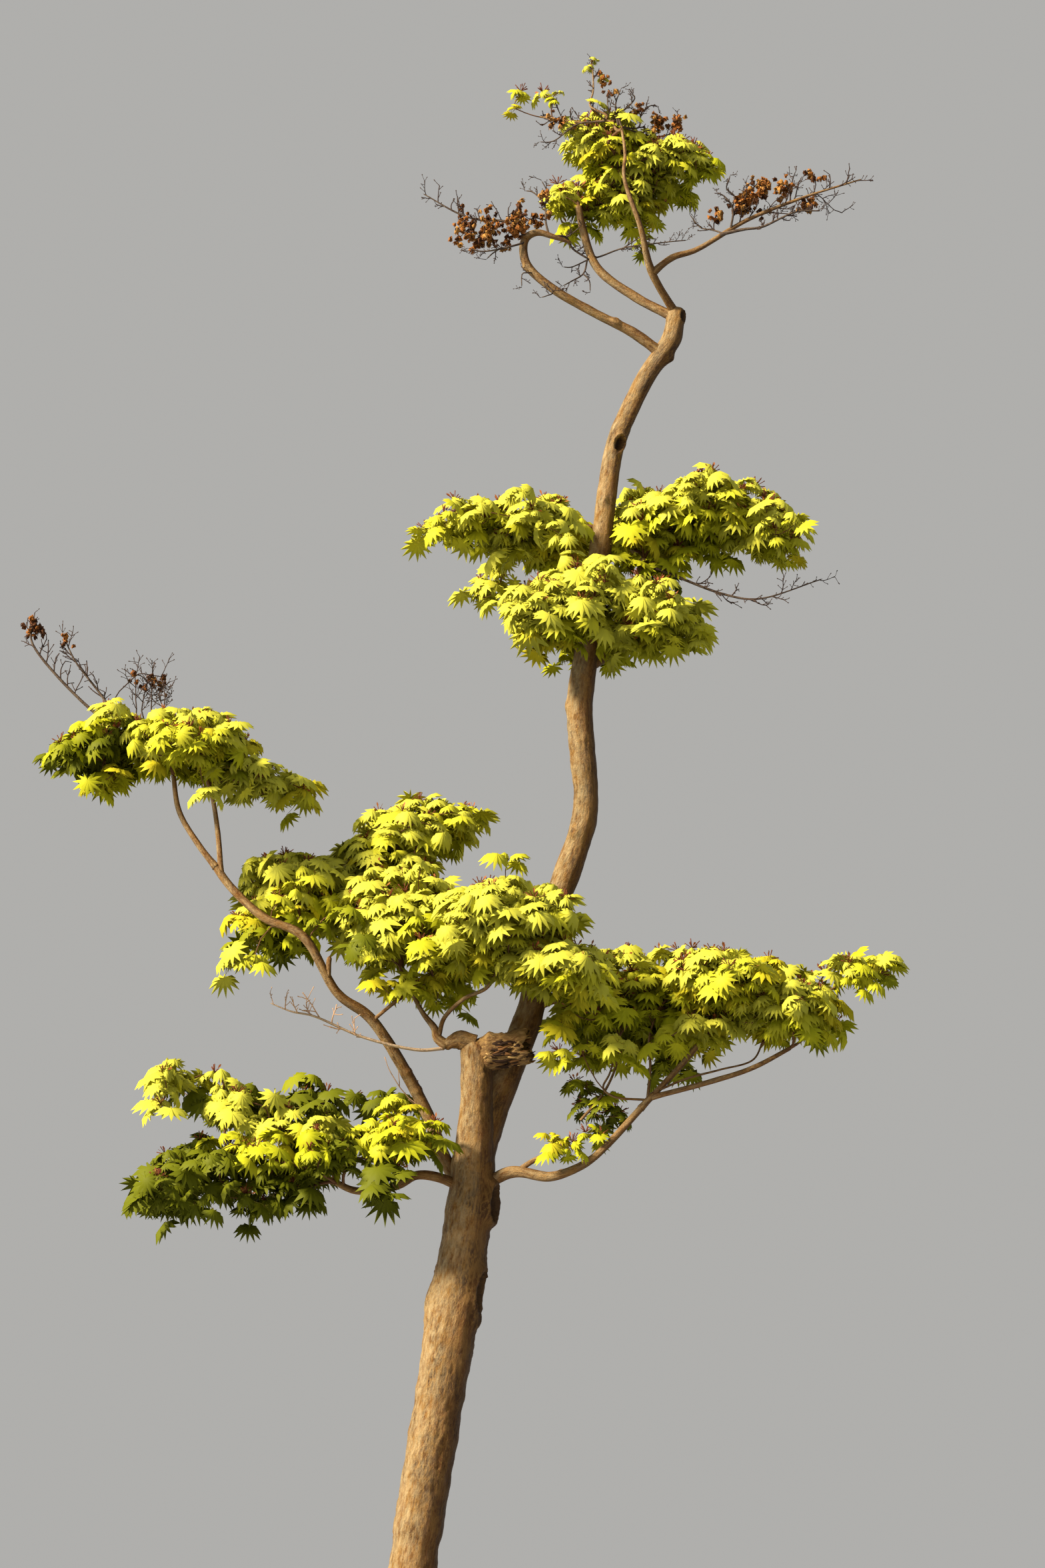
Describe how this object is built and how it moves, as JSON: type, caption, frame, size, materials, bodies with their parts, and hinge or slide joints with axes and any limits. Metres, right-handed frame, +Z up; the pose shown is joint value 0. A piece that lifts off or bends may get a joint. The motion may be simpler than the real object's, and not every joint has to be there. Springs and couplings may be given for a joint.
{
  "type": "japanese maple tree",
  "caption": "Garden maple tree with a leaning trunk, pruned boughs and separate flat tiers of golden foliage, with some dead twigs and brown leaves.",
  "frame": {"origin": "middle of the flat cut under the trunk, at ground level", "axes": "+Z up along the height of the tree, +X to the right and +Y away from the viewer of its front"},
  "size_m": [2.1197, 0.8919, 5.0923],
  "materials": {
    "bark": "rough tan and grey-brown bark with fine upright cracks",
    "sawn_wood": "weathered, splintered sawn wood",
    "dead_twig": "dry, dull dead wood",
    "twig": "thin brown twig bark",
    "leaf": "thin golden yellow-green leaf, half matt",
    "dead_leaf": "dry, curled brown leaf",
    "fruit": "thin reddish winged seed"
  },
  "bodies": {
    "root": {"central_front": "leaf", "central_left": "leaf", "central_left_low": "leaf", "central_middle": "leaf", "central_right": "leaf", "central_top": "leaf", "centre_bough": "bark", "crown_dead_bough": "dead_twig", "crown_leader": "bark", "crown_left": "leaf", "crown_left_bough": "bark", "crown_low": "leaf", "crown_middle_bough": "bark", "crown_right": "leaf", "crown_right_bough": "bark", "crown_side_twig": "bark", "crown_under": "leaf", "dead_left": "dead_leaf", "dead_right": "dead_leaf", "dead_top": "dead_leaf", "far_left": "leaf", "far_left_bough": "bark", "far_left_right": "leaf", "far_left_tip": "leaf", "front_stem": "bark", "knuckle": "bark", "left_bough": "bark", "left_dead_fork": "dead_twig", "left_dead_twig": "dead_twig", "low_left_bough": "bark", "lower_left": "leaf", "lower_left_back": "leaf", "lower_left_inner": "leaf", "lower_left_tip": "leaf", "lower_left_upper": "leaf", "middle_dead_twig": "dead_twig", "middle_front_left": "leaf", "middle_front_right": "leaf", "middle_left": "leaf", "middle_left_tip": "leaf", "middle_right": "leaf", "middle_right_bough": "bark", "middle_right_tip": "leaf", "middle_right_top": "leaf", "pale_dead_twig": "dead_twig", "right_bough": "bark", "right_far": "leaf", "right_inner": "leaf", "right_inner_bough": "bark", "right_lower_bough": "bark", "right_middle": "leaf", "right_sprig": "leaf", "right_spur": "bark", "right_tip": "leaf", "right_upper_bough": "bark", "sawn_stub": "sawn_wood", "sprig_left": "leaf", "top_twig": "bark", "trunk": "bark", "upright_bough": "bark"}
  },
  "joints": []
}
